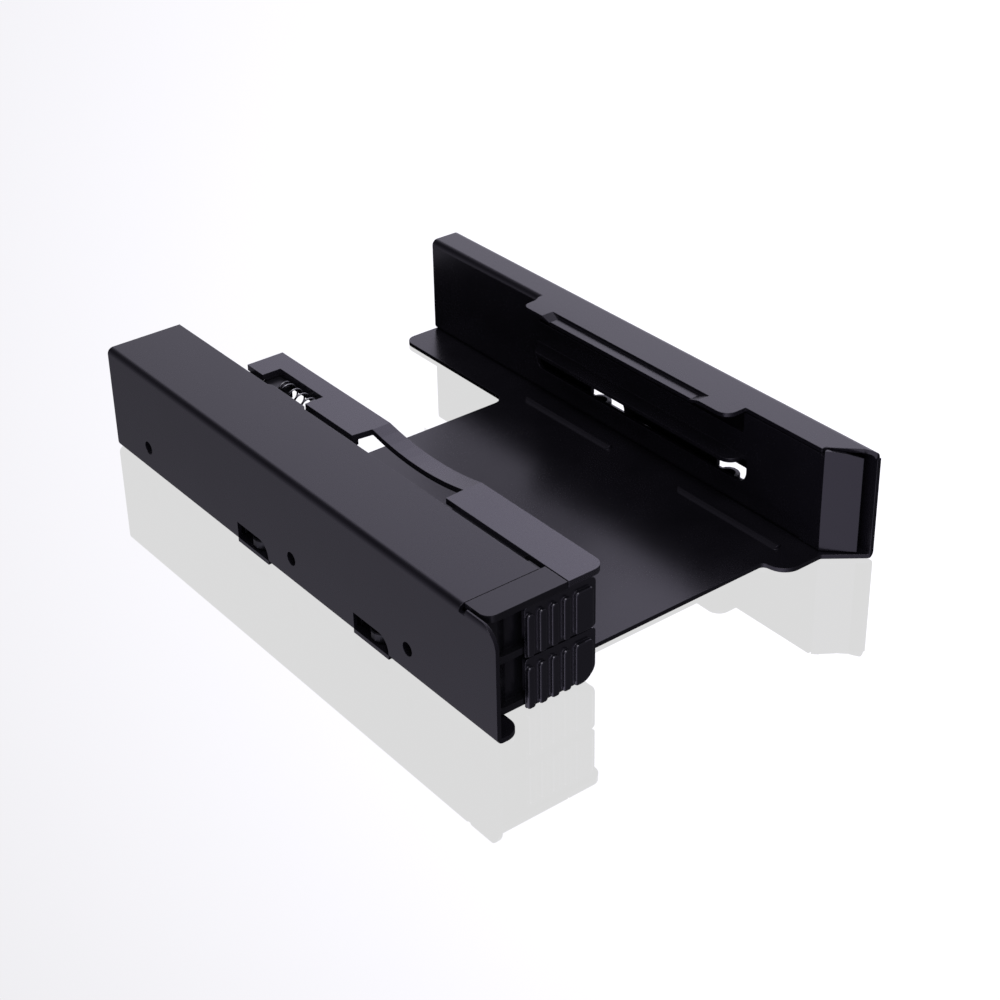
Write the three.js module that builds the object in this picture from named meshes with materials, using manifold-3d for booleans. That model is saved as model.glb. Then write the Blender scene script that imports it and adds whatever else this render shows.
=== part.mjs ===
// Tool-less mounting bracket that holds two 2.5-inch drives in one 3.5-inch drive bay.
// Millimetres. +Z up, +Y to the rear (connector end), +X to the right, seen from the front.
// The origin is under the middle of the bracket, on the plane it rests on.
import * as THREE from 'three';
import { mergeVertices } from 'three/addons/utils/BufferGeometryUtils.js';
import Module from 'manifold-3d';

const wasm = await Module();
wasm.setup();

// ---- driving dimensions --------------------------------------------------------------------
const WIDTH = 101.6; // 3.5-inch form factor
const LENGTH = 145.4;
const HEIGHT = 26;
const SHEET = 1; // steel gauge
const BEND = 1.5; // outer bend radius
const GAP = 0.3; // clearance between separate pieces

const HALF = WIDTH / 2;
const FRONT = -LENGTH / 2;
const REAR = LENGTH / 2;
const TOP = HEIGHT;

// holes of the 3.5-inch standard, measured from the front end
const SIDE_HOLES_Y = [28.5, 70.1, 130.1].map((d) => FRONT + d);
const SIDE_HOLE_Z = 6.35;
const SCREW_HOLE_R = 1.6;
const BOTTOM_HOLES_Y = [41.3, 85.7].map((d) => FRONT + d);
const BOTTOM_HOLE_X = 95.25 / 2;

// sheet frame
const LEFT_FLANGE_X = -31.6;
const LEFT_FLANGE_FRONT_Y = -61.6;
const BASE_FRONT_Y = -60.5;
const NOTCH_Y = 31;
const NOTCH_LEFT_X = -31.6;
const NOTCH_RIGHT_X = 32.3;
const RAIL_X = 42.2; // drive-side face of the right rail
const RAIL_FRONT_Y = -64.9;
const LEDGE_X = 36.5; // drive-side edge of the hold-down ledge
const LEDGE_REAR_Y = 29.8;
const LEDGE_FRONT_Y = -41.2;
const JOGGLE = 0.8; // drop of the ledge's middle stretch
const LANCE_Z = 19.6; // lower edge of the slot that the ledge was lanced from
const FLAP_RUN = 5.7; // how far the flap's tip lies to the side and to the front
const SHELF_EDGE_X = 38; // drive-side edge of the shelf that carries the upper drive
const UPPER_FLOOR = 14.1; // floor height of the upper bay
const SPLIT_Z = 13.1; // seam between the two stacked housings

// latch modules along the left side
const HOUSING_LEFT_X = -48.9;
const HOUSING_RIGHT_X = -28.2;
const HOUSING_REAR_Y = 44.6;
const FACE_Y = -67.3; // plain front face of the housings
const STRIP_FRONT_Y = -68.5; // front edge of the top strip
const STRIP_RIGHT_X = -30.2;
const POCKET_LEFT_X = -44.8; // thumb pocket beside each latch
const POCKET_RIGHT_X = -38.1;
const POCKET_FLOOR_Y = -65.6;
const CHAMBER_REAR_Y = -55.8; // back of the latch chamber

const LATCH = { left: -40.1, right: -23.5, front: -68.7, back: -65.9, height: 10.6 };
const GRIP_PLATE = { right: -22.7, lower: [0.6, 12.05], upper: [12.4, 24.05] };
const LATCH_NECK_LEFT_X = -33.5;
const LATCH_BOTTOM = { lower: 0.6, upper: 12.7 };
const RIB_PITCH = 2.95;
const RIB_GROOVE = 1.05;
const RIB_DEPTH = 0.85;

const EJECTOR = { left: -30.1, right: -20.7, plate: 1.4 };
const EJECTOR_REAR_Y = 45;
const BRIDGE_LEFT_X = -25.3;
const BRIDGE_FRONT_Y = -29.5;
const BRIDGE_REAR_Y = 2.5;
const BRIDGE_SAG = 1.7;
const SPRING_NOTCH = { right: -25.4, front: 21.3, rear: 38.6 };
const LUG = { front: 33.5, rear: 38.3, top: 24.3 };
const FINGER = { front: 27.4, thickness: 1.2, left: -22.9, right: -20.9 };
const LOWER_EJECTOR_DROP = 13.1; // the lower slide is the upper one's copy, this much lower

// springs: place, mean radius, wire diameter and turns
const LATCH_SPRING = { y: -60.9, radius: 1.9, wire: 0.4, turns: 6 };
const LATCH_SPRING_Z = { lower: 6.1, upper: 18.1 };
const EJECTOR_SPRING = { x: -27.8, z: 23.9, radius: 1.85, wire: 0.35, turns: 5.5 };

// long screws through both housings
const HOUSING_SCREWS = [[-39, -47], [-39, 38]];
const BOSS_R = 3.1;
const BOSS_HOLE_R = 1.5;

// ---- materials -----------------------------------------------------------------------------
const material = (color, roughness, metalness) =>
  new THREE.MeshStandardMaterial({ color, roughness, metalness });
const blackSteel = material(0x17171b, 0.5, 0.35);
const blackPlastic = material(0x141417, 0.45, 0);
const latchPlastic = material(0x121215, 0.32, 0);
const springSteel = material(0xc9c9cc, 0.25, 1);
const platedSteel = material(0x8f9095, 0.35, 1);

// ---- solid helpers -------------------------------------------------------------------------
function toSolid(geometry) {
  const bare = geometry.clone();
  for (const key of Object.keys(bare.attributes)) {
    if (key !== 'position') bare.deleteAttribute(key);
  }
  const merged = mergeVertices(bare, 1e-4);
  // faces meant to lie in one plane are brought exactly into it
  const positions = merged.attributes.position.array.map((v) => Math.round(v * 1e4) / 1e4);
  return new wasm.Manifold(
    new wasm.Mesh({
      numProp: 3,
      vertProperties: new Float32Array(positions),
      triVerts: new Uint32Array(merged.index.array),
    }),
  );
}

function toGeometry(manifold) {
  const mesh = manifold.getMesh();
  const geometry = new THREE.BufferGeometry();
  geometry.setAttribute('position', new THREE.BufferAttribute(mesh.vertProperties, 3));
  geometry.setIndex(new THREE.BufferAttribute(mesh.triVerts, 1));
  return geometry;
}

const unite = (solids) => solids.reduce((sum, next) => sum.add(next));
const cut = (solid, tools) => tools.reduce((rest, tool) => rest.subtract(tool), solid);

function block(x0, x1, y0, y1, z0, z1) {
  const geometry = new THREE.BoxGeometry(x1 - x0, y1 - y0, z1 - z0);
  geometry.translate((x0 + x1) / 2, (y0 + y1) / 2, (z0 + z1) / 2);
  return toSolid(geometry);
}

// round bar between two heights (or stations) along the named axis
function bar(axis, a, b, from, to, radius, radiusTo = radius, sides = 12) {
  const geometry = new THREE.CylinderGeometry(radiusTo, radius, to - from, sides);
  const middle = (from + to) / 2;
  if (axis === 'z') geometry.rotateX(Math.PI / 2).translate(a, b, middle);
  if (axis === 'x') geometry.rotateZ(-Math.PI / 2).translate(middle, a, b);
  if (axis === 'y') geometry.translate(a, middle, b);
  return toSolid(geometry);
}

// outline with rounded corners; each corner is [u, v] or [u, v, radius]
function outline(corners) {
  const shape = new THREE.Shape();
  const count = corners.length;
  corners.forEach(([u, v, radius = 0], i) => {
    const before = corners[(i + count - 1) % count];
    const after = corners[(i + 1) % count];
    const corner = new THREE.Vector2(u, v);
    const toBefore = new THREE.Vector2(before[0] - u, before[1] - v).normalize();
    const toAfter = new THREE.Vector2(after[0] - u, after[1] - v).normalize();
    const half = Math.acos(THREE.MathUtils.clamp(toBefore.dot(toAfter), -1, 1)) / 2;
    const reach = radius / Math.tan(half);
    const start = corner.clone().addScaledVector(toBefore, reach);
    const end = corner.clone().addScaledVector(toAfter, reach);
    if (i === 0) shape.moveTo(start.x, start.y);
    else shape.lineTo(start.x, start.y);
    if (radius === 0) return;
    const bisector = toBefore.clone().add(toAfter).normalize();
    const centre = corner.clone().addScaledVector(bisector, radius / Math.sin(half));
    const a0 = Math.atan2(start.y - centre.y, start.x - centre.x);
    const a1 = Math.atan2(end.y - centre.y, end.x - centre.x);
    const clockwise = toBefore.cross(toAfter) > 0;
    shape.absarc(centre.x, centre.y, radius, a0, a1, clockwise);
  });
  return shape;
}

const extrude = (shape, depth, curveSegments = 5) =>
  new THREE.ExtrudeGeometry(shape, { depth, bevelEnabled: false, curveSegments });

// prism whose outline lies in plan (x, y)
function plan(corners, z0, z1, segments) {
  return toSolid(extrude(outline(corners), z1 - z0, segments).translate(0, 0, z0));
}

// prism whose outline lies in the section (x, z)
function section(corners, y0, y1, segments) {
  const geometry = extrude(outline(corners), y1 - y0, segments);
  return toSolid(geometry.rotateX(Math.PI / 2).translate(0, y1, 0));
}

// prism whose outline lies in the side view (y, z)
function side(corners, x0, x1, segments) {
  const geometry = extrude(outline(corners), x1 - x0, segments);
  return toSolid(geometry.rotateZ(Math.PI / 2).rotateY(Math.PI / 2).translate(x0, 0, 0));
}

// helical compression spring from a to b, with closed end turns
class CoilPath extends THREE.Curve {
  constructor(start, axis, length, radius, wire, turns) {
    super();
    Object.assign(this, { start, axis, length, radius, wire, turns });
  }

  getPoint(t) {
    const angle = t * this.turns * 2 * Math.PI;
    const closed = 0.9 / this.turns; // share of the wire in each closed end turn
    const open = THREE.MathUtils.clamp((t - closed) / (1 - 2 * closed), 0, 1);
    const ends = Math.min(t / closed, 1) + Math.max((t - 1 + closed) / closed, 0);
    const closedRise = this.wire * 1.1;
    const along = this.wire / 2 + ends * closedRise
      + open * (this.length - this.wire - 2 * closedRise);
    const u = this.radius * Math.cos(angle);
    const v = this.radius * Math.sin(angle);
    const offset = this.axis === 'y' ? [u, along, v] : [along, u, v];
    return new THREE.Vector3(...offset).add(this.start);
  }
}

function coil(start, axis, length, radius, wire, turns) {
  const path = new CoilPath(new THREE.Vector3(...start), axis, length, radius, wire, turns);
  const ring = new THREE.Shape().absarc(0, 0, wire / 2, 0, 2 * Math.PI);
  return toSolid(new THREE.ExtrudeGeometry(ring, {
    steps: Math.round(turns * 10),
    extrudePath: path,
    curveSegments: 5,
    bevelEnabled: false,
  }));
}

// ---- sheet frame: base, left channel and closed right channel, bent from one sheet -------------
function frameProfile() {
  const inner = BEND - SHEET;
  const left = -HALF;
  const right = HALF;
  return [
    [LEFT_FLANGE_X, TOP], [left, TOP, BEND], [left, 0, BEND], [right, 0, BEND],
    [right, TOP, BEND], [RAIL_X, TOP, BEND], [RAIL_X, LANCE_Z], [RAIL_X + SHEET, LANCE_Z],
    [RAIL_X + SHEET, TOP - SHEET, inner], [right - SHEET, TOP - SHEET, inner],
    [right - SHEET, SHEET, inner], [left + SHEET, SHEET, inner],
    [left + SHEET, TOP - SHEET, inner], [LEFT_FLANGE_X, TOP - SHEET],
  ];
}

function frameFrontCuts() {
  const far = FRONT - 5;
  const out = HALF + 5;
  const earRight = -44.7;
  const earBack = -66.2;
  const tools = [];
  // left flange stops short of the wall, with a small relief at its corner
  tools.push(block(-49.9, 0, far, LEFT_FLANGE_FRONT_Y, 10, TOP + 1));
  tools.push(block(-out, -48.6, -63.4, LEFT_FLANGE_FRONT_Y, 24.6, TOP + 1));
  tools.push(block(-out, -49.8, far, -63.3, 25.6, TOP + 1));
  // large round top corner of the left wall
  tools.push(side([[FRONT - 6, 30], [FRONT - 6, 20.9], [FRONT, 20.9], [FRONT, 25.6, 4.6],
    [-66, 25.6], [-66, 30]], -out, -49.7, 8).subtract(block(-out, 0, -72.6, -60, 10, 20.9)));
  // base: left ear, set-back front edge, right ear, slanted corner under the right channel
  tools.push(plan([[-60, far], [-60, FRONT - 1], [-49.7, FRONT - 1], [-49.7, FRONT],
    [earRight, FRONT, 3.6], [earRight, BASE_FRONT_Y, 1], [30.1, BASE_FRONT_Y, 1.5],
    [31.4, earBack, 4.6], [41.6, earBack, 1], [49.9, FRONT], [49.9, far]], -1, 3, 6));
  // right channel: the top's front edge slants back behind the flap, the folded wall stops short
  const back = 0.9;
  tools.push(plan([[30, far], [30, RAIL_FRONT_Y + back], [RAIL_X + back, RAIL_FRONT_Y + back],
    [RAIL_X + back + FLAP_RUN, RAIL_FRONT_Y + back - FLAP_RUN], [HALF - 0.8, -72.3], [out, -72.3],
    [out, far]], 24.4, TOP + 1));
  tools.push(block(RAIL_X - 1, HALF - SHEET - 0.5, far, RAIL_FRONT_Y, 2, TOP - SHEET));
  return tools;
}

function frameRearNotch() {
  const round = 3;
  const notch = plan([[NOTCH_LEFT_X, NOTCH_Y, round], [NOTCH_RIGHT_X, NOTCH_Y, round],
    [NOTCH_RIGHT_X, REAR + 5], [NOTCH_LEFT_X, REAR + 5]], -1, 3);
  // the rear corner of the base beside the notch is rounded too
  const corner = block(NOTCH_RIGHT_X - 1, NOTCH_RIGHT_X + round, REAR - round, REAR + 5, -1, 3);
  return notch.add(corner.subtract(
    bar('z', NOTCH_RIGHT_X + round, REAR - round, -1, 3, round, round, 24)));
}

// lower part of the folded wall with its welded foot, window and the upper drive's shelf
function foldedWall() {
  const outer = RAIL_X + SHEET;
  const foot = SHEET - 0.05; // sunk a little into the base it is welded to
  const bend = BEND - SHEET + 0.7;
  const wall = section([[RAIL_X, LANCE_Z + 0.5], [RAIL_X, foot, bend], [48.6, foot],
    [48.6, 2 * SHEET], [outer, 2 * SHEET, bend - 0.7], [outer, LANCE_Z + 0.5]], -60, REAR, 4);
  const front = block(RAIL_X, outer, RAIL_FRONT_Y, -59, SHEET + GAP, LANCE_Z + 0.5);
  const nutCuts = BOTTOM_HOLES_Y.map((y) => block(44.2, 50, y - 4, y + 4, 0, 6));
  const window = side([[-42.3, UPPER_FLOOR - SHEET], [-42.3, 7, 3.2],
    [31, 7, 3.2], [31, UPPER_FLOOR - SHEET]], RAIL_X - 1, outer + 1, 6);
  const shelf = plan([[outer - 0.1, 30.2], [RAIL_X, 30.2], [SHELF_EDGE_X, 26, 1.5],
    [SHELF_EDGE_X, LEDGE_FRONT_Y, 3], [outer - 0.1, LEDGE_FRONT_Y]],
    UPPER_FLOOR - SHEET, UPPER_FLOOR, 6);
  return cut(wall.add(front), [window, ...nutCuts]).add(shelf);
}

// the wall's front end, folded towards the outer wall; its upper edge falls away to the tip
function leadInFlap() {
  const outer = RAIL_X + SHEET;
  const tip = RAIL_X + FLAP_RUN;
  const end = RAIL_FRONT_Y - FLAP_RUN;
  const top = TOP - 0.3;
  const flap = plan([[RAIL_X, RAIL_FRONT_Y + 0.1], [RAIL_X, RAIL_FRONT_Y], [tip, end],
    [tip + 0.7, end + 0.7], [outer, RAIL_FRONT_Y + 0.4]], SHEET + GAP, top);
  const crown = section([[RAIL_X + 1.2, TOP + 1], [RAIL_X + 1.2, top - 0.1], [RAIL_X + 3.5, top - 0.5],
    [tip - 0.2, top - 1.2], [tip + 2, top - 2.2], [tip + 2, TOP + 1]], end - 1, RAIL_FRONT_Y + 1);
  return flap.subtract(crown);
}

// hold-down ledge, lanced from the folded wall's upper part and left level with the top
function addLedge(frame) {
  const inset = 0.3;
  const ledge = plan([[RAIL_X + 2, LEDGE_REAR_Y], [RAIL_X, LEDGE_REAR_Y], [40.6, 28.9, 1],
    [LEDGE_X, 28.6, 1.9], [LEDGE_X, LEDGE_FRONT_Y, 3], [RAIL_X, LEDGE_FRONT_Y, 0.8],
    [RAIL_X + 2, LEDGE_FRONT_Y]], TOP - SHEET, TOP, 6);
  const slot = block(RAIL_X - 1, RAIL_X + SHEET + 0.1, LEDGE_FRONT_Y + inset, LEDGE_REAR_Y - inset,
    LANCE_Z, TOP - SHEET);
  // in front of the ledge the wall is slit free from the top
  const lip = block(RAIL_X, RAIL_X + 2, RAIL_FRONT_Y + 0.9, LEDGE_FRONT_Y, TOP - SHEET, TOP);
  const slit = block(RAIL_X - 1, RAIL_X + SHEET + 0.4, RAIL_FRONT_Y - 1, LEDGE_FRONT_Y + 0.5,
    TOP - SHEET - GAP, TOP - SHEET);
  return frame.add(ledge).add(lip).subtract(slot).subtract(slit);
}

// the ledge's middle stretch is stepped down to hold the upper drive
function joggleLedge(frame) {
  const step = 39.8;
  const rear = [21.5, 18.7];
  const front = [-32.4, -29.6];
  const upper = [[rear[0], TOP], [rear[1], TOP - JOGGLE], [front[1], TOP - JOGGLE],
    [front[0], TOP]];
  const lower = upper.map(([y, z]) => [y, z - SHEET]);
  const removed = side([...upper, [front[0], TOP + 2], [rear[0], TOP + 2]], LEDGE_X - 1, step);
  const added = side([...upper, ...[...lower].reverse()], LEDGE_X + 0.4, step + 0.8);
  const under = side([...lower, [front[0], TOP - 4], [rear[0], TOP - 4]], LEDGE_X - 1, step);
  const trim = block(LEDGE_X - 1, LEDGE_X + 0.4, front[1], rear[1], TOP - 3, TOP + 1);
  return cut(frame, [removed, trim]).add(added).subtract(under);
}

function bead(y0, y1) {
  const x = LEDGE_X;
  const half = 1.15;
  const rise = 0.9;
  const ends = plan([[x - half, y0, half * 0.98], [x + half, y0, half * 0.98],
    [x + half, y1, half * 0.98], [x - half, y1, half * 0.98]], 0.5, 3, 6);
  const dome = section([[x - half, 0.6], [x + half, 0.6], [x + half, SHEET],
    [x + 0.75, SHEET + 0.62 * rise], [x + 0.3, SHEET + rise], [x - 0.3, SHEET + rise],
    [x - 0.75, SHEET + 0.62 * rise], [x - half, SHEET]], y0, y1);
  return dome.intersect(ends);
}

function beadGroove(y0, y1) {
  return block(LEDGE_X - 0.55, LEDGE_X + 0.55, y0 + 0.8, y1 - 0.8, -1, 0.6);
}

// D-shaped window in a side wall, over each bottom screw hole
function wallWindow(y, direction) {
  const reach = 6.1;
  const x0 = direction > 0 ? HALF - 1.6 : -HALF - 1;
  return side([[y + reach, SHEET], [y + reach, 5], [y - reach, 5, 3.4], [y - reach, SHEET]],
    x0, x0 + 2.6, 6);
}

function windowLip(y, direction) {
  const x0 = direction > 0 ? HALF - 2 : -HALF;
  return block(x0, x0 + 2, y - 6.1, y + 6.1, 0, SHEET);
}

function buildFrame() {
  let frame = section(frameProfile(), FRONT, REAR, 4);
  frame = frame.add(foldedWall());
  frame = cut(frame, [...frameFrontCuts(), frameRearNotch()]);
  frame = joggleLedge(addLedge(frame)).add(leadInFlap());
  // small tab of the left flange beside the spring
  frame = frame.add(plan([[LEFT_FLANGE_X - 1, 19.4], [LEFT_FLANGE_X, 19.4], [-30.9, 20.4],
    [-30.9, 33.3], [LEFT_FLANGE_X, 34.3], [LEFT_FLANGE_X - 1, 34.3]], TOP - SHEET, TOP));
  for (const direction of [-1, 1]) {
    for (const y of BOTTOM_HOLES_Y) {
      frame = frame.subtract(wallWindow(y, direction)).add(windowLip(y, direction));
      frame = frame.subtract(bar('z', direction * BOTTOM_HOLE_X, y, -1, 2, 2.3));
    }
    for (const y of SIDE_HOLES_Y) {
      const x0 = direction > 0 ? 48 : -52;
      const innerFace = direction > 0 ? HALF - SHEET - 0.5 : -HALF + SHEET - 0.1;
      frame = frame.add(bar('x', y, SIDE_HOLE_Z, innerFace, innerFace + 0.6, 2.4));
      frame = frame.subtract(bar('x', y, SIDE_HOLE_Z, x0, x0 + 4, SCREW_HOLE_R));
    }
  }
  for (const [y0, y1] of [[-3.7, 27.3], [-58.8, -27.1]]) {
    frame = frame.subtract(beadGroove(y0, y1)).add(bead(y0, y1));
  }
  for (const [x, y] of HOUSING_SCREWS) {
    frame = frame.subtract(bar('z', x, y, -0.2, SHEET + 0.2, 2.9, 1.7));
  }
  return frame;
}

// ---- clinch nuts in the base, over the bottom screw holes -------------------------------------
function clinchNut(x, y) {
  const z0 = 0.3;
  const z1 = SHEET + GAP;
  const profile = [[1.45, z0], [2, z0], [2, z1], [2.7, z1], [2.7, z1 + 1.7], [2.45, z1 + 1.95],
    [1.7, z1 + 1.95], [1.45, z1 + 1.7], [1.45, z0]].map(([r, z]) => new THREE.Vector2(r, z));
  const geometry = new THREE.LatheGeometry(profile, 14).rotateX(Math.PI / 2);
  return toSolid(geometry.translate(x, y, 0));
}

// ---- housings ---------------------------------------------------------------------------------
// parts of a housing that are the same on both levels; floor and top are its outer heights
function housingBody(bottom, top, floorTop, guideTop) {
  const wallRight = HOUSING_LEFT_X + 1.3;
  const guideLeft = HOUSING_RIGHT_X - 1.6;
  const solids = [
    block(HOUSING_LEFT_X, HOUSING_RIGHT_X, -64.4, HOUSING_REAR_Y, bottom, floorTop),
    block(HOUSING_LEFT_X, wallRight, FACE_Y + 1, HOUSING_REAR_Y, bottom, top),
    block(guideLeft, HOUSING_RIGHT_X, -64.2, NOTCH_Y - 1, bottom, guideTop),
    block(HOUSING_LEFT_X, guideLeft + 0.5, HOUSING_REAR_Y - 1.4, HOUSING_REAR_Y, bottom, guideTop),
    block(HOUSING_LEFT_X, guideLeft + 0.5, CHAMBER_REAR_Y, CHAMBER_REAR_Y + 1.3, bottom, guideTop),
  ];
  // stiffening ribs between the walls
  for (const y of [-32, -12, 8]) {
    solids.push(block(HOUSING_LEFT_X, guideLeft + 0.5, y - 0.6, y + 0.6, bottom, guideTop - 2));
  }
  return unite(solids);
}

// front face beside a latch: plain strip that curves back into the thumb pocket behind the grip
function housingFace(bottom, top) {
  const back = POCKET_FLOOR_Y + 1.2;
  const sill = bottom + 1.5;
  const pocketed = plan([[HOUSING_LEFT_X, back], [HOUSING_LEFT_X, FACE_Y], [-46.2, FACE_Y],
    [-45.4, FACE_Y + 0.35], [-44.6, FACE_Y + 0.9], [-43.7, FACE_Y + 1.55], [-43.2, POCKET_FLOOR_Y],
    [POCKET_RIGHT_X, POCKET_FLOOR_Y], [POCKET_RIGHT_X, back]], bottom, top);
  const plain = block(HOUSING_LEFT_X, POCKET_RIGHT_X, FACE_Y, back, bottom, top).subtract(
    section([[POCKET_LEFT_X - 2, top + 1], [POCKET_LEFT_X - 2, sill, 2.4],
      [POCKET_RIGHT_X + 1, sill], [POCKET_RIGHT_X + 1, top + 1]], FACE_Y - 1, back + 1, 6));
  return pocketed.add(plain);
}

function housingReliefs() {
  const tools = [];
  for (const y of BOTTOM_HOLES_Y) {
    tools.push(block(-52, -44.5, y - 6, y + 6, 0, 4));
  }
  for (const y of SIDE_HOLES_Y.slice(0, 2)) {
    tools.push(bar('x', y, SIDE_HOLE_Z, -52, -45, 2.1));
  }
  return tools;
}

// round columns that take the long housing screws
function screwBosses(bottom, top, blindTop) {
  const columns = HOUSING_SCREWS.map(([x, y]) => bar('z', x, y, bottom, top, BOSS_R));
  const holes = HOUSING_SCREWS.map(([x, y]) => bar('z', x, y, bottom - 1, blindTop, BOSS_HOLE_R));
  return { columns, holes };
}

// boss on the left wall that carries a latch spring
function latchSpringBoss(z) {
  return bar('x', LATCH_SPRING.y, z, HOUSING_LEFT_X + 1.2, HOUSING_LEFT_X + 2.9, 1.2);
}

// lug that the ejector spring pushes against, with its boss
function ejectorSpringLug(z, floor, top) {
  const lug = block(-29.8, -25.8, LUG.front, LUG.rear, floor, top);
  const boss = bar('y', EJECTOR_SPRING.x, z, LUG.front - 1.5, LUG.front + 0.1, 1.05);
  return lug.add(boss);
}

function buildLowerHousing() {
  const bottom = SHEET + GAP;
  const top = SPLIT_Z - GAP / 2;
  const springZ = EJECTOR_SPRING.z - LOWER_EJECTOR_DROP;
  const guideTop = springZ - 2.4;
  const bosses = screwBosses(bottom, top - 2.2, top + 1);
  const body = unite([
    housingBody(bottom, top, bottom + 0.9, guideTop),
    housingFace(bottom, top),
    latchSpringBoss(LATCH_SPRING_Z.lower),
    ejectorSpringLug(springZ, bottom, LUG.top - LOWER_EJECTOR_DROP),
    block(-29.9, -25.7, NOTCH_Y - 2, LUG.rear, bottom, bottom + 1.4),
    ...bosses.columns,
  ]);
  return cut(body, [...bosses.holes, ...housingReliefs()]);
}

function buildUpperHousing() {
  const bottom = SPLIT_Z + GAP / 2;
  const top = TOP - SHEET - GAP;
  const guideTop = 21.5;
  const bosses = screwBosses(bottom, 22.4, 20.6);
  const drop = 0.05;
  const strip = plan([[HOUSING_LEFT_X - 0.5, LEFT_FLANGE_FRONT_Y - GAP / 2],
    [HOUSING_LEFT_X - 0.5, STRIP_FRONT_Y, 2.4], [STRIP_RIGHT_X, STRIP_FRONT_Y],
    [STRIP_RIGHT_X, LEFT_FLANGE_FRONT_Y - GAP / 2]], top - 0.3, TOP, 6);
  const underFlange = block(HOUSING_LEFT_X, LEFT_FLANGE_X - 0.3, -64.4, -58, guideTop - 0.1, top);
  const roof = block(HOUSING_LEFT_X, LEFT_FLANGE_X - 0.3, CHAMBER_REAR_Y, HOUSING_REAR_Y,
    guideTop - 0.1, 22.9);
  const chamberRoof = block(HOUSING_LEFT_X, LEFT_FLANGE_X - 0.3, -64.4, CHAMBER_REAR_Y + 0.1,
    22.2, top);
  const driveLedge = block(HOUSING_RIGHT_X - 0.1, -23.6, -58, NOTCH_Y - 1, bottom, UPPER_FLOOR - drop);
  const lugWeb = block(-32.2, -29.6, LUG.front, HOUSING_REAR_Y, 20.9, LUG.top);
  const body = unite([
    housingBody(bottom, top, UPPER_FLOOR - drop, guideTop),
    housingFace(bottom, top),
    latchSpringBoss(LATCH_SPRING_Z.upper),
    ejectorSpringLug(EJECTOR_SPRING.z, 20.9, LUG.top),
    strip, underFlange, roof, chamberRoof, driveLedge, lugWeb,
    ...bosses.columns,
  ]);
  return cut(body, bosses.holes);
}

// ---- latches: ribbed thumb grip, hook in front of the drive, carriage with its spring boss ----
// one raised pad of a grip, with rounded corners and a rounded front edge
function gripPad(x0, x1, z0, z1, topRound, bottomRight) {
  const shrink = 0.35;
  const corners = outline([[x0 + shrink, z0 + shrink, 0.25], [x1 - shrink, z0 + shrink, bottomRight],
    [x1 - shrink, z1 - shrink, topRound], [x0 + shrink, z1 - shrink, topRound]]);
  const geometry = new THREE.ExtrudeGeometry(corners, { depth: RIB_DEPTH, curveSegments: 3,
    bevelThickness: shrink, bevelSize: shrink, bevelSegments: 2 });
  return toSolid(geometry.rotateX(Math.PI / 2).translate(0, LATCH.front + shrink + RIB_DEPTH, 0));
}

function ribbedGrip(bottom, top, plate, cornerRound) {
  const { left, right, front, back } = LATCH;
  const body = section([[left, plate[0], 0.5], [GRIP_PLATE.right, plate[0], cornerRound.bottom],
    [GRIP_PLATE.right, plate[1], cornerRound.top], [left, plate[1], 1.1]], front + RIB_DEPTH, back, 5);
  const padRight = right - 0.25;
  const pads = [0, 1, 2, 3, 4].map((i) => {
    const x0 = left + 1.15 + RIB_PITCH * i - (RIB_PITCH - RIB_GROOVE) + 0.8;
    const last = i === 4;
    const x1 = last ? padRight : x0 + RIB_PITCH - RIB_GROOVE;
    return gripPad(x0, x1, bottom + 0.1, top - 0.9, last ? 0.6 : 0.5,
      last ? Math.max(cornerRound.bottom - 0.3, 0.3) : 0.25);
  });
  return unite([body, ...pads]);
}

function buildLatch(level) {
  const bottom = LATCH_BOTTOM[level];
  const top = bottom + LATCH.height;
  const springZ = LATCH_SPRING_Z[level];
  const carriageRight = HOUSING_RIGHT_X - 1.6 - GAP;
  const upper = level === 'upper';
  const cornerRound = upper ? { top: 1.4, bottom: 0.8 } : { top: 0.8, bottom: 3 };
  const hook = upper ? [16.2, 23.0] : [2.6, 6.0];
  // the grip's lower left corner is thinned, because it slides in front of the housing's sill
  const thinned = block(LATCH.left - 1, POCKET_RIGHT_X + 4.6, FACE_Y - GAP, LATCH.back + 0.1,
    bottom - 1, bottom + 4.2);
  const backCorner = plan([[LATCH.left - 1, LATCH.back + 1], [LATCH.left - 1, LATCH.back - 1],
    [LATCH.left, LATCH.back - 1], [LATCH.left + 1.2, LATCH.back], [LATCH.left + 1.2, LATCH.back + 1]],
    bottom - 1, top + 1);
  return unite([
    cut(ribbedGrip(bottom, top, GRIP_PLATE[level], cornerRound), [thinned, backCorner]),
    block(LATCH.left, carriageRight, -64.1, -57.2, springZ - 2.9, springZ + 2.9),
    block(LATCH_NECK_LEFT_X, carriageRight, LATCH.back - 0.1, -64, springZ - 2.9, springZ + 2.9),
    block(LATCH_NECK_LEFT_X, LATCH.right + 0.7, LATCH.back - 0.5, -64.6, ...hook),
    bar('x', LATCH_SPRING.y, springZ, LATCH.left - 1.5, LATCH.left + 0.1, 1.2),
  ]);
}

function latchSpring(level) {
  const x0 = HOUSING_LEFT_X + 1.3 + GAP / 2;
  const x1 = LATCH.left - GAP / 2;
  const { y, radius, wire, turns } = LATCH_SPRING;
  return coil([x0, y, LATCH_SPRING_Z[level]], 'x', x1 - x0, radius, wire, turns);
}

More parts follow.
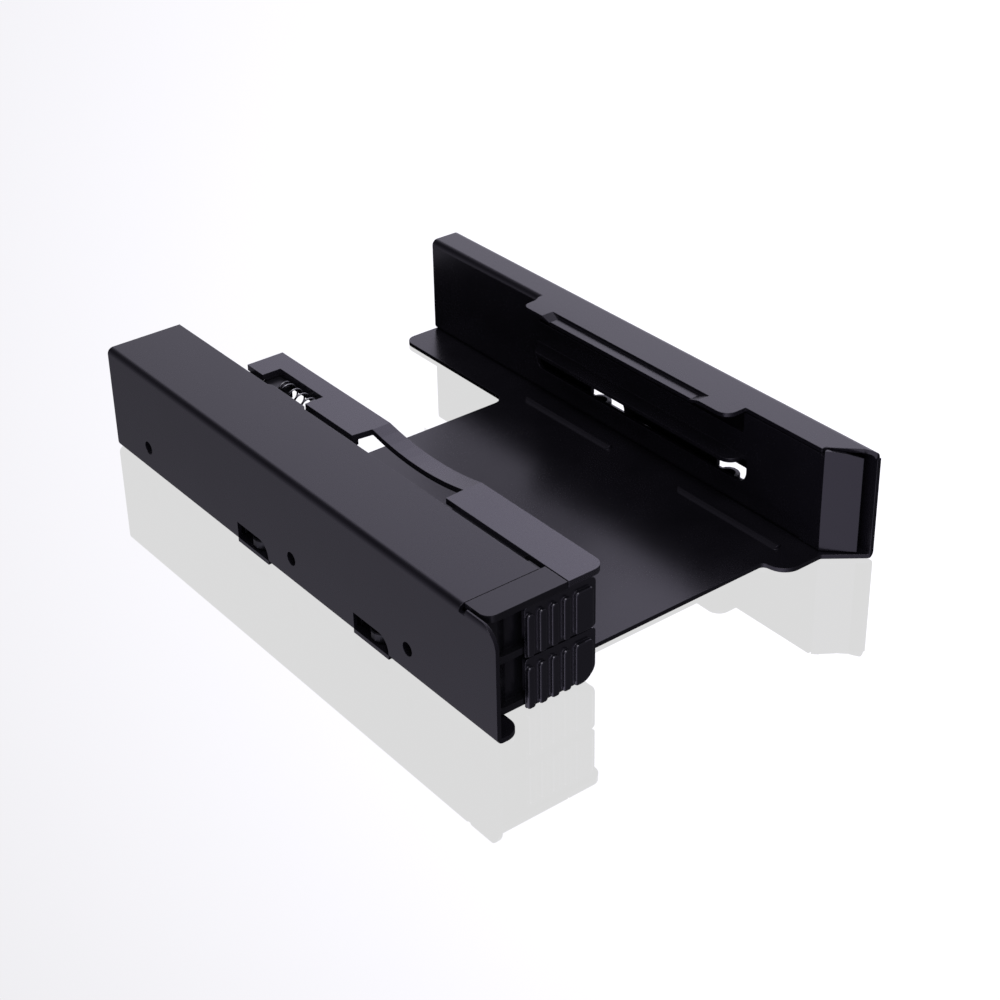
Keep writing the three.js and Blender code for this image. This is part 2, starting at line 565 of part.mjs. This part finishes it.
// ---- ejectors: sprung slide with a finger behind the drive -------------------------------------
function bridgeStrip(right) {
  const steps = 10;
  const length = BRIDGE_REAR_Y - BRIDGE_FRONT_Y;
  const radius = (length * length / 4 + BRIDGE_SAG * BRIDGE_SAG) / (2 * BRIDGE_SAG);
  const upper = [];
  for (let i = 0; i <= steps; i += 1) {
    const y = BRIDGE_REAR_Y - (length * i) / steps;
    const fromMiddle = y - (BRIDGE_REAR_Y + BRIDGE_FRONT_Y) / 2;
    const sag = Math.sqrt(radius * radius - fromMiddle * fromMiddle) - (radius - BRIDGE_SAG);
    upper.push([y, TOP - sag]);
  }
  const lower = upper.map(([y, z]) => [y, z - EJECTOR.plate + 0.1]).reverse();
  return side([...upper, ...lower], BRIDGE_LEFT_X, right);
}

// wall in front of the spring with its boss, and the finger that stands behind the drive
function ejectorFittings(springZ, under, fingerBottom) {
  const { left } = EJECTOR;
  return [
    block(left, SPRING_NOTCH.right, SPRING_NOTCH.front - 1, SPRING_NOTCH.front, springZ - 1.9,
      under + 0.1),
    bar('y', EJECTOR_SPRING.x, springZ, SPRING_NOTCH.front - 0.1, SPRING_NOTCH.front + 1.6, 1.05),
    block(FINGER.left, FINGER.right, FINGER.front, FINGER.front + FINGER.thickness, fingerBottom,
      under + 0.1),
  ];
}

const springNotch = (under, top) => block(EJECTOR.left - 1, SPRING_NOTCH.right,
  SPRING_NOTCH.front, SPRING_NOTCH.rear, under - 1, top + 1);

function buildUpperEjector() {
  const { left, right, plate } = EJECTOR;
  const under = TOP - plate;
  const frontPlate = plan([[left + 0.2, BRIDGE_FRONT_Y - 0.3], [left + 0.2, STRIP_FRONT_Y],
    [right, STRIP_FRONT_Y, 2.8], [right, BRIDGE_FRONT_Y], [BRIDGE_LEFT_X, BRIDGE_FRONT_Y]],
    under, TOP, 6);
  const rearPlate = plan([[right, EJECTOR_REAR_Y], [left, EJECTOR_REAR_Y], [left, 3.2],
    [BRIDGE_LEFT_X, 2.6], [BRIDGE_LEFT_X, BRIDGE_REAR_Y], [right, BRIDGE_REAR_Y]], under, TOP);
  const skirtBottom = TOP - 3.3;
  const skirts = [
    block(SPRING_NOTCH.right, SPRING_NOTCH.right + 1.1, SPRING_NOTCH.front - 1, SPRING_NOTCH.rear + 1,
      skirtBottom, under + 0.1),
    block(-29.2, SPRING_NOTCH.right + 1.1, SPRING_NOTCH.rear, SPRING_NOTCH.rear + 1, skirtBottom,
      under + 0.1),
    block(left, left + 1.2, 3.2, 8, 22.6, under + 0.1),
    block(-27.8, right - 0.6, -64.3, -63.4, 23.7, under + 0.1),
  ];
  const tongues = [[-55, -32], [3.2, 19]].map(([y0, y1]) =>
    block(-36.5, left + 1.5, y0, y1, 23.3, under + 0.02).subtract(
      block(-37, left, y0 - 1, y1 + 1, under - 0.02, TOP)));
  return unite([frontPlate, rearPlate.subtract(springNotch(under, TOP)), bridgeStrip(right),
    ...skirts, ...tongues, ...ejectorFittings(EJECTOR_SPRING.z, under, 15)]);
}

function buildLowerEjector() {
  const { left, right } = EJECTOR;
  const top = SPLIT_Z - GAP / 2 - GAP;
  const under = top - 1.2;
  const frontY = -63.8;
  const plate = plan([[right, EJECTOR_REAR_Y - 2], [left, EJECTOR_REAR_Y - 2],
    [left, BRIDGE_REAR_Y], [BRIDGE_LEFT_X, BRIDGE_REAR_Y], [BRIDGE_LEFT_X, BRIDGE_FRONT_Y],
    [left, BRIDGE_FRONT_Y], [left, -52], [-27.8, -52], [-27.8, frontY], [right, frontY, 1.5]],
    under, top);
  const tongue = block(-36, left + 1, -50, -34, under, top);
  return unite([plate.subtract(springNotch(under, top)), tongue,
    ...ejectorFittings(EJECTOR_SPRING.z - LOWER_EJECTOR_DROP, under, 1.9)]);
}

function ejectorSpring(z) {
  const { x, radius, wire, turns } = EJECTOR_SPRING;
  const front = SPRING_NOTCH.front + GAP / 2;
  return coil([x, front, z], 'y', LUG.front - GAP / 2 - front, radius, wire, turns);
}

// ---- long screws that clamp both housings to the base ------------------------------------------
function housingScrew(x, y) {
  const z0 = 0.05;
  const profile = [[0, z0 + 0.6], [0.9, z0 + 0.6], [0.9, z0], [2.3, z0], [1.2, 1.25],
    [1.2, 19.6], [0.7, 20.2], [0, 20.2]].map(([r, z]) => new THREE.Vector2(r, z));
  return toSolid(new THREE.LatheGeometry(profile, 12).rotateX(Math.PI / 2).translate(x, y, 0));
}

// ---- assembly ----------------------------------------------------------------------------------
const group = new THREE.Group();

function place(name, shape, surface) {
  const mesh = new THREE.Mesh(toGeometry(shape), surface);
  mesh.name = name;
  group.add(mesh);
}

place('frame', buildFrame(), blackSteel);
for (const [sideName, x] of [['left', -BOTTOM_HOLE_X], ['right', BOTTOM_HOLE_X]]) {
  for (const [endName, y] of [['front', BOTTOM_HOLES_Y[0]], ['rear', BOTTOM_HOLES_Y[1]]]) {
    place(`clinch_nut_${sideName}_${endName}`, clinchNut(x, y), platedSteel);
  }
}
place('lower_housing', buildLowerHousing(), blackPlastic);
place('upper_housing', buildUpperHousing(), blackPlastic);
place('housing_screw_front', housingScrew(...HOUSING_SCREWS[0]), platedSteel);
place('housing_screw_rear', housingScrew(...HOUSING_SCREWS[1]), platedSteel);
place('lower_latch', buildLatch('lower'), latchPlastic);
place('upper_latch', buildLatch('upper'), latchPlastic);
place('lower_latch_spring', latchSpring('lower'), springSteel);
place('upper_latch_spring', latchSpring('upper'), springSteel);
place('lower_ejector', buildLowerEjector(), blackPlastic);
place('upper_ejector', buildUpperEjector(), blackPlastic);
place('lower_ejector_spring', ejectorSpring(EJECTOR_SPRING.z - LOWER_EJECTOR_DROP), springSteel);
place('upper_ejector_spring', ejectorSpring(EJECTOR_SPRING.z), springSteel);

export default group;
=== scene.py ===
"""Tool-less drive bracket: procedural finishes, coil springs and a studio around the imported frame.

The front of the bracket is towards -Y, its left side towards -X. Lengths are in metres, apart from
the lens and the sensor width, which are in millimetres.
"""
import math

import bmesh
import bpy
from mathutils import Matrix, Vector


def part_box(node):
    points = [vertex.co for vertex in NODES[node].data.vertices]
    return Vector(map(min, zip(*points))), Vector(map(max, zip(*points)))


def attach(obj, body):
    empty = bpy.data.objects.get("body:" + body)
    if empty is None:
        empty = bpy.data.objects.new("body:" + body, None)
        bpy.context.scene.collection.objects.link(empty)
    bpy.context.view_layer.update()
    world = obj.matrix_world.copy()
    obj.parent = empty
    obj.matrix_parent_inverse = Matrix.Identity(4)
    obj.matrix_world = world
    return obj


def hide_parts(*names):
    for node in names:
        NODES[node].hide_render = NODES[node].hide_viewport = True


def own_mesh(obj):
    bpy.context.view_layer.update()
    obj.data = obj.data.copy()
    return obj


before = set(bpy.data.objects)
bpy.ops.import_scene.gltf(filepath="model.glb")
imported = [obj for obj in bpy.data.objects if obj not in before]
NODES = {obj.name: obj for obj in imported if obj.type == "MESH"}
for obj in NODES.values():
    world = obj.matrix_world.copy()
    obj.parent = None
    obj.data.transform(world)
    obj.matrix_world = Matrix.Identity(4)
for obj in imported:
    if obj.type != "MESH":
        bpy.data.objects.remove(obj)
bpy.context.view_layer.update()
MM = 0.001

# ---- camera --------------------------------------------------------------------------------------
AZIMUTH, ELEVATION, ROLL = math.radians(-37.13), math.radians(29.43), math.radians(-1.28)
TARGET = Vector((9.95, 7.81, 13.0)) * MM
DISTANCE = 467.23 * MM
LENS, SENSOR_WIDTH = 74.117, 36.0
SHIFT = (0.01073, -0.07876)
CLIP = (0.01, 20.0)


def make_camera():
    """The rest view: looks at TARGET from the front left and above, with a shifted lens."""
    back = Vector((
        math.sin(AZIMUTH) * math.cos(ELEVATION),
        -math.cos(AZIMUTH) * math.cos(ELEVATION),
        math.sin(ELEVATION),
    ))
    level = Vector((math.cos(AZIMUTH), math.sin(AZIMUTH), 0.0))
    above = back.cross(level)
    right = level * math.cos(ROLL) + above * math.sin(ROLL)
    up = above * math.cos(ROLL) - level * math.sin(ROLL)
    data = bpy.data.cameras.new("camera")
    data.lens = LENS
    data.sensor_width = SENSOR_WIDTH
    data.shift_x, data.shift_y = SHIFT
    data.clip_start, data.clip_end = CLIP
    camera = bpy.data.objects.new("camera", data)
    turn = Matrix((right, up, back)).transposed().to_4x4()
    camera.matrix_world = Matrix.Translation(TARGET + back * DISTANCE) @ turn
    bpy.context.scene.collection.objects.link(camera)
    bpy.context.scene.camera = camera


# ---- node helpers --------------------------------------------------------------------------------
class Nodes:
    """A small wrapper that makes and joins shader nodes; inputs go by name or by index."""

    def __init__(self, tree):
        self.tree = tree
        tree.nodes.clear()

    def add(self, kind, inputs=None, **settings):
        node = self.tree.nodes.new(kind)
        for key, value in settings.items():
            setattr(node, key, value)
        for key, value in (inputs or {}).items():
            self.put(node.inputs[key], value)
        return node

    def put(self, socket, value):
        if isinstance(value, bpy.types.NodeSocket):
            self.tree.links.new(value, socket)
        else:
            socket.default_value = value

    def math(self, operation, a, b):
        return self.add("ShaderNodeMath", {0: a, 1: b}, operation=operation).outputs[0]

    def dot(self, a, b):
        node = self.add("ShaderNodeVectorMath", {0: a, 1: b}, operation="DOT_PRODUCT")
        return node.outputs["Value"]

    def remap(self, value, source, target=(0.0, 1.0)):
        """Maps the range `source` onto `target`, without going past its ends."""
        inputs = dict(enumerate((value, *source, *target)))
        return self.add("ShaderNodeMapRange", inputs, clamp=True).outputs[0]

    def noise(self, coords, scale, detail=2.0, roughness=0.5):
        node = self.add("ShaderNodeTexNoise", {
            "Vector": coords, "Scale": scale, "Detail": detail, "Roughness": roughness})
        return node.outputs["Fac"]

    def bump(self, height, distance, strength, normal):
        node = self.add("ShaderNodeBump", {
            "Height": height, "Distance": distance, "Strength": strength, "Normal": normal})
        return node.outputs["Normal"]

    def blend(self, factor, a, b):
        """Colour mix: in colour mode its sockets are inputs 0, 6 and 7 and output 2."""
        return self.add("ShaderNodeMix", {0: factor, 6: a, 7: b}, data_type="RGBA").outputs[2]

    def object_coords(self):
        return self.add("ShaderNodeTexCoord").outputs["Object"]

    def geometry(self, output):
        return self.add("ShaderNodeNewGeometry").outputs[output]

    def surface(self, shader, kind="ShaderNodeOutputMaterial"):
        self.add(kind, {"Surface": shader.outputs[0]})


def new_material(name):
    material = bpy.data.materials.new(name)
    material.use_nodes = True
    return material, Nodes(material.node_tree)


# ---- finishes ------------------------------------------------------------------------------------
DRIFT_SCALE = 45.0              # slow drift of tone and shine, about 20 mm across
NOISE_RANGE = (0.3, 0.7)        # the part of a noise that is spread over a finish's range
SHINE_FROM_GRAIN = 0.6          # the rest of the shine's variation comes from the drift
EDGE_WEAR_AND_HIGHLIGHT_SCALE = 320.0               # patches of wear and painted highlight along the edges, about 3 mm across
EDGE_WEAR_AND_HIGHLIGHT_RANGE = (0.42, 0.66)
EDGE_WEAR_AND_HIGHLIGHT_LIGHTER = 5                 # a wholly worn edge with painted highlight would be this many times as light as the finish
RUB_POLISH = 0.12               # and this much less rough
EDGE_LEAN = (0.995, 0.86)       # dot product of the rounded and the flat normal near an edge
EDGE_SAMPLES = 6
BLACK_IOR = 1.5
WIRE_LINES = (4200.0, 0.000004, 0.35)   # scale, depth and strength of the drawing lines
STAIN_SCALE = 380.0
STAIN_RANGE = (0.35, 0.7)
STAIN_DARKER = 0.62


def coated(name, dark, light, rough, grain, peel, edge=0.00018, specular=0.5, tint=None, wear_and_highlight_reach=0.35):
    """Black finish with fine grain, a broad orange peel, tone drift and lighter edges that are partly
    wear and partly painted highlight.

    `grain` and `peel` are (noise scale, depth, strength); `edge` is the shaded edge radius; the last
    argument is how far the edge wear and painted highlight go, from 0 to 1.
    """
    material, n = new_material(name)
    coords = n.object_coords()
    fine = n.noise(coords, grain[0], 2.0, 0.6)
    broad = n.noise(coords, peel[0], 2.0, 0.5)
    drift = n.noise(coords, DRIFT_SCALE, 3.0, 0.6)
    rounded = n.add("ShaderNodeBevel", {"Radius": edge}, samples=EDGE_SAMPLES).outputs["Normal"]
    at_edge = n.remap(n.dot(rounded, n.geometry("Normal")), EDGE_LEAN)
    patches = n.remap(n.noise(coords, EDGE_WEAR_AND_HIGHLIGHT_SCALE, 4.0), EDGE_WEAR_AND_HIGHLIGHT_RANGE, (0.0, wear_and_highlight_reach))
    # edges to lighten: partly wear, partly painted highlight standing in for bright edge reflections
    edge_wear_and_highlight = n.math("MULTIPLY", at_edge, patches)
    tone = n.blend(n.remap(drift, NOISE_RANGE), (*dark, 1.0), (*light, 1.0))
    # painted highlight and wear: the edge mask lightens the tone
    tone = n.blend(edge_wear_and_highlight, tone, (*[min(1.0, EDGE_WEAR_AND_HIGHLIGHT_LIGHTER * c) for c in light], 1.0))
    uneven = n.math("ADD", n.math("MULTIPLY", fine, SHINE_FROM_GRAIN),
                    n.math("MULTIPLY", drift, 1.0 - SHINE_FROM_GRAIN))
    shine = n.remap(uneven, NOISE_RANGE, rough)
    shine = n.math("SUBTRACT", shine, n.math("MULTIPLY", edge_wear_and_highlight, RUB_POLISH))
    normal = n.bump(broad, peel[1], peel[2], rounded)
    normal = n.bump(fine, grain[1], grain[2], normal)
    shader = n.add("ShaderNodeBsdfPrincipled", {
        "Base Color": tone, "Roughness": shine, "Normal": normal,
        "Specular IOR Level": specular, "IOR": BLACK_IOR})
    if tint:
        shader.inputs["Specular Tint"].default_value = (*tint, 1.0)
    n.surface(shader)
    return material


def wire(name, tone, rough):
    """Drawn steel wire: metal with fine lines and slight staining."""
    material, n = new_material(name)
    coords = n.object_coords()
    lines = n.noise(coords, WIRE_LINES[0], 3.0, 0.7)
    stain = n.noise(coords, STAIN_SCALE, 4.0, 0.6)
    stained = (*[STAIN_DARKER * c for c in tone], 1.0)
    color = n.blend(n.remap(stain, STAIN_RANGE), (*tone, 1.0), stained)
    shine = n.remap(stain, NOISE_RANGE, rough)
    normal = n.bump(lines, WIRE_LINES[1], WIRE_LINES[2], n.geometry("Normal"))
    n.surface(n.add("ShaderNodeBsdfPrincipled", {
        "Base Color": color, "Roughness": shine, "Normal": normal, "Metallic": 1.0}))
    return material


# reflections on the black finishes lean slightly towards violet
TINT = (0.90, 0.86, 1.0)
POWDER = coated("powder_coat", (0.004, 0.0037, 0.0052), (0.007, 0.0065, 0.009), (0.21, 0.29),
                (3000.0, 0.000012, 0.30), (520.0, 0.00003, 0.10), tint=TINT, wear_and_highlight_reach=0.25)
HOUSING = coated("housing_plastic", (0.004, 0.004, 0.005), (0.007, 0.007, 0.0085), (0.26, 0.36),
                 (4200.0, 0.000008, 0.35), (700.0, 0.00001, 0.1), edge=0.00012, tint=TINT)
SLIDER = coated("slider_plastic", (0.008, 0.0076, 0.010), (0.012, 0.0115, 0.015), (0.23, 0.31),
                (4600.0, 0.000006, 0.3), (650.0, 0.00001, 0.1), edge=0.00015, specular=1.0, tint=TINT)
GRIP = coated("grip_plastic", (0.004, 0.004, 0.0055), (0.008, 0.008, 0.010), (0.13, 0.21),
              (3800.0, 0.000004, 0.25), (900.0, 0.000012, 0.12), edge=0.0002, specular=1.0, tint=TINT)
WIRE = wire("spring_wire", (0.30, 0.30, 0.32), (0.14, 0.26))
PLATED = wire("plated_steel", (0.045, 0.045, 0.05), (0.2, 0.36))

# the frame and the housing screws are powder-coated
FINISH = {"lower_housing": HOUSING, "upper_housing": HOUSING,
          "lower_latch": GRIP, "upper_latch": GRIP,
          "lower_ejector": SLIDER, "upper_ejector": SLIDER}
for node_name, node in NODES.items():
    if node_name.endswith("spring"):
        finish = WIRE
    elif node_name.startswith("clinch"):
        finish = PLATED
    else:
        finish = FINISH.get(node_name, POWDER)
    node.data.materials.clear()
    node.data.materials.append(finish)


# ---- springs -------------------------------------------------------------------------------------
X, Y, Z = 0, 1, 2
WIRE_SIDES = 10
STEPS_PER_TURN = 30
CLOSED_TURNS = 0.85             # at each end
CLOSED_CLIMB = 1.05             # what a closed end climbs, in wire sizes


def coil_spring(node_name, along, turns, wire_size):
    """Round-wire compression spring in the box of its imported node, with closed ends.

    `along` is the spring's own axis, X or Y.
    """
    low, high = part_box(node_name)
    across = X if along == Y else Y
    start, length = low[along], high[along] - low[along]
    middle = ((low[across] + high[across]) / 2, (low[Z] + high[Z]) / 2)
    radius = (high[Z] - low[Z] - wire_size) / 2
    open_turns = turns - 2 * CLOSED_TURNS
    rise = (length - wire_size * (2 * CLOSED_CLIMB + 1)) / open_turns
    steps = int(turns * STEPS_PER_TURN)

    def centre(share):
        """The point on the wire's centre line at a share of its length, from 0 to 1."""
        turn = share * turns
        closed = min(turn, CLOSED_TURNS) + max(turn - turns + CLOSED_TURNS, 0.0)
        climb = wire_size * CLOSED_CLIMB * closed / CLOSED_TURNS
        climb += rise * min(max(turn - CLOSED_TURNS, 0.0), open_turns)
        angle = 2 * math.pi * turn
        point = Vector((0.0, 0.0, middle[1] + radius * math.sin(angle)))
        point[along] = start + wire_size / 2 + climb
        point[across] = middle[0] + radius * math.cos(angle)
        return point

    bm = bmesh.new()
    rings = []
    for step in range(steps + 1):
        here = centre(step / steps)
        tangent = (centre(min(step + 0.5, steps) / steps)
                   - centre(max(step - 0.5, 0) / steps)).normalized()
        out = here.copy()
        out[along] = 0.0
        out[across] -= middle[0]
        out[Z] -= middle[1]
        out = (out - tangent * out.dot(tangent)).normalized()
        side = tangent.cross(out)
        ring = []
        for k in range(WIRE_SIDES):
            angle = 2 * math.pi * k / WIRE_SIDES
            offset = (out * math.cos(angle) + side * math.sin(angle)) * (wire_size / 2)
            ring.append(bm.verts.new(here + offset))
        rings.append(ring)
    for a, b in zip(rings, rings[1:]):
        for k in range(WIRE_SIDES):
            after = (k + 1) % WIRE_SIDES
            bm.faces.new((a[k], a[after], b[after], b[k]))
    bm.faces.new(rings[0])
    bm.faces.new(list(reversed(rings[-1])))
    bmesh.ops.recalc_face_normals(bm, faces=bm.faces)
    for face in bm.faces:
        face.smooth = len(face.verts) == 4
    mesh = bpy.data.meshes.new(node_name + "_wire")
    bm.to_mesh(mesh)
    bm.free()
    mesh.materials.append(WIRE)
    spring = bpy.data.objects.new(node_name + "_wire", mesh)
    bpy.context.scene.collection.objects.link(spring)
    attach(spring, "bracket")
    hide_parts(node_name)
    # axis and anchor of the spring, an ejector's at its rear end and a latch's at its left end; they
    # are worked out but not used
    axis, anchor = Vector(), Vector()
    axis[along] = 1.0
    anchor[along] = high[along] if along == Y else low[along]
    anchor[across], anchor[Z] = middle
    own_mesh(spring)


for level in ("lower", "upper"):
    coil_spring(level + "_ejector_spring",
                along=Y, turns=5.5, wire_size=0.4 * MM)
    coil_spring(level + "_latch_spring",
                along=X, turns=6.0, wire_size=0.42 * MM)


# ---- studio --------------------------------------------------------------------------------------
WHITE = (1.0, 1.0, 1.0, 1.0)
CARD_BLACK = (0.01, 0.01, 0.01, 1.0)
FLOOR_HALF, FLOOR_Z = 2.2, -0.0001
FLOOR_GLOW = 0.70
FLOOR_MIRROR, FLOOR_MIRROR_ROUGHNESS = (0.33, 0.33, 0.33, 1.0), 0.02
BACKDROP_RADIUS = 3.0
CATCHER_X, CATCHER_Y, CATCHER_Z = (-0.05, 0.05), (-0.06, 0.11), -0.001
FLAG_X, FLAG_Y, FLAG_Z = 0.06, (0.03, 0.105), (0.049, 0.074)
FLAG_COVER = 0.6
AMBIENT = 0.07
STUDIO_COLOR = (1.0, 0.965, 1.13, 1.0)
# where each light area is, how strong it is and how tightly it is gathered
LIGHT_AREAS = (
    ((0.77, 0.52, 0.44), 1.45, 6.0),      # bright wall at the back right
    ((-0.85, -0.1, -0.5), 0.78, 2.0),     # broad light from the lower left
    ((-0.69, -0.53, -0.49), 0.45, 14.0),  # smaller bright area inside it, nearer the front
    ((-0.45, -0.75, 0.5), 0.7, 4.0),      # soft light from the front left and above
)
LAMP_PLACE, LAMP_AIM = Vector((-0.18, -0.25, 0.85)), Vector((0.0, 0.0, 0.01))
LAMP_SIZE, LAMP_POWER = (0.6, 0.5), 3.0


def link_stage_mesh(name, mesh, material):
    mesh.materials.append(material)
    thing = bpy.data.objects.new(name, mesh)
    bpy.context.scene.collection.objects.link(thing)
    return thing


def link_card(name, corners, material):
    mesh = bpy.data.meshes.new(name)
    mesh.from_pydata(corners, [], [(0, 1, 2, 3)])
    return link_stage_mesh(name, mesh, material)


def level_corners(x, y, z):
    return [(x[0], y[0], z), (x[1], y[0], z),
            (x[1], y[1], z), (x[0], y[1], z)]


def make_floor():
    """Glowing floor that mirrors the object weakly; it is clear to a camera that is below it."""
    material, n = new_material("floor")
    glow = n.add("ShaderNodeEmission", {"Color": WHITE, "Strength": FLOOR_GLOW})
    mirror = n.add("ShaderNodeBsdfGlossy", {
        "Color": FLOOR_MIRROR, "Roughness": FLOOR_MIRROR_ROUGHNESS})
    both = n.add("ShaderNodeAddShader", {0: glow.outputs[0], 1: mirror.outputs[0]})
    clear = n.add("ShaderNodeBsdfTransparent")
    n.surface(n.add("ShaderNodeMixShader", {
        0: n.geometry("Backfacing"), 1: both.outputs[0], 2: clear.outputs[0]}))
    extent = (-FLOOR_HALF, FLOOR_HALF)
    floor = link_card("floor", level_corners(extent, extent, FLOOR_Z), material)
    floor.visible_diffuse = False
    floor.visible_glossy = False
    floor.visible_shadow = False


def make_backdrop():
    """White sphere round everything, seen by the camera only."""
    material, n = new_material("backdrop")
    n.surface(n.add("ShaderNodeEmission", {"Color": WHITE, "Strength": 1.0}))
    mesh = bpy.data.meshes.new("backdrop")
    bm = bmesh.new()
    bmesh.ops.create_icosphere(bm, subdivisions=3, radius=BACKDROP_RADIUS)
    bm.to_mesh(mesh)
    bm.free()
    backdrop = link_stage_mesh("backdrop", mesh, material)
    backdrop.visible_diffuse = False
    backdrop.visible_glossy = False
    backdrop.visible_shadow = False
    backdrop.visible_transmission = False


def make_catcher():
    """Dark card under the object: keeps light from below out of the sheet's reflections."""
    material, n = new_material("catcher")
    n.surface(n.add("ShaderNodeBsdfDiffuse", {"Color": CARD_BLACK}))
    card = link_card("catcher", level_corners(CATCHER_X, CATCHER_Y, CATCHER_Z), material)
    card.visible_camera = False


def make_flag():
    """Half-clear dark card above the right side: it keeps the bright wall out of the base."""
    material, n = new_material("flag")
    clear = n.add("ShaderNodeBsdfTransparent")
    dark = n.add("ShaderNodeBsdfDiffuse", {"Color": CARD_BLACK})
    n.surface(n.add("ShaderNodeMixShader", {
        0: FLAG_COVER, 1: clear.outputs[0], 2: dark.outputs[0]}))
    (front, rear), (bottom, top) = FLAG_Y, FLAG_Z
    card = link_card("flag", [(FLAG_X, front, bottom), (FLAG_X, rear, bottom),
                              (FLAG_X, rear, top), (FLAG_X, front, top)], material)
    card.visible_camera = False


def make_surroundings():
    """A dim studio that is bright in the directions of LIGHT_AREAS."""
    world = bpy.data.worlds.new("studio")
    world.use_nodes = True
    n = Nodes(world.node_tree)
    direction = n.add("ShaderNodeTexCoord").outputs["Generated"]
    total = AMBIENT
    for toward, strength, gathered in LIGHT_AREAS:
        facing = n.math("MAXIMUM", n.dot(direction, tuple(Vector(toward).normalized())), 0.0)
        lobe = n.math("POWER", facing, gathered)
        total = n.math("ADD", total, n.math("MULTIPLY", lobe, strength))
    background = n.add("ShaderNodeBackground", {"Color": STUDIO_COLOR, "Strength": total})
    n.surface(background, "ShaderNodeOutputWorld")
    bpy.context.scene.world = world


def make_overhead_lamp():
    data = bpy.data.lights.new("overhead", "AREA")
    data.shape = "RECTANGLE"
    data.size, data.size_y = LAMP_SIZE
    data.energy = LAMP_POWER
    lamp = bpy.data.objects.new("overhead", data)
    lamp.location = LAMP_PLACE
    lamp.rotation_euler = (LAMP_AIM - LAMP_PLACE).to_track_quat("-Z", "Y").to_euler()
    bpy.context.scene.collection.objects.link(lamp)


make_camera()
make_floor()
make_catcher()
make_flag()
make_backdrop()
make_surroundings()
make_overhead_lamp()

view = bpy.context.scene.view_settings
view.view_transform = "Standard"
view.look = "None"
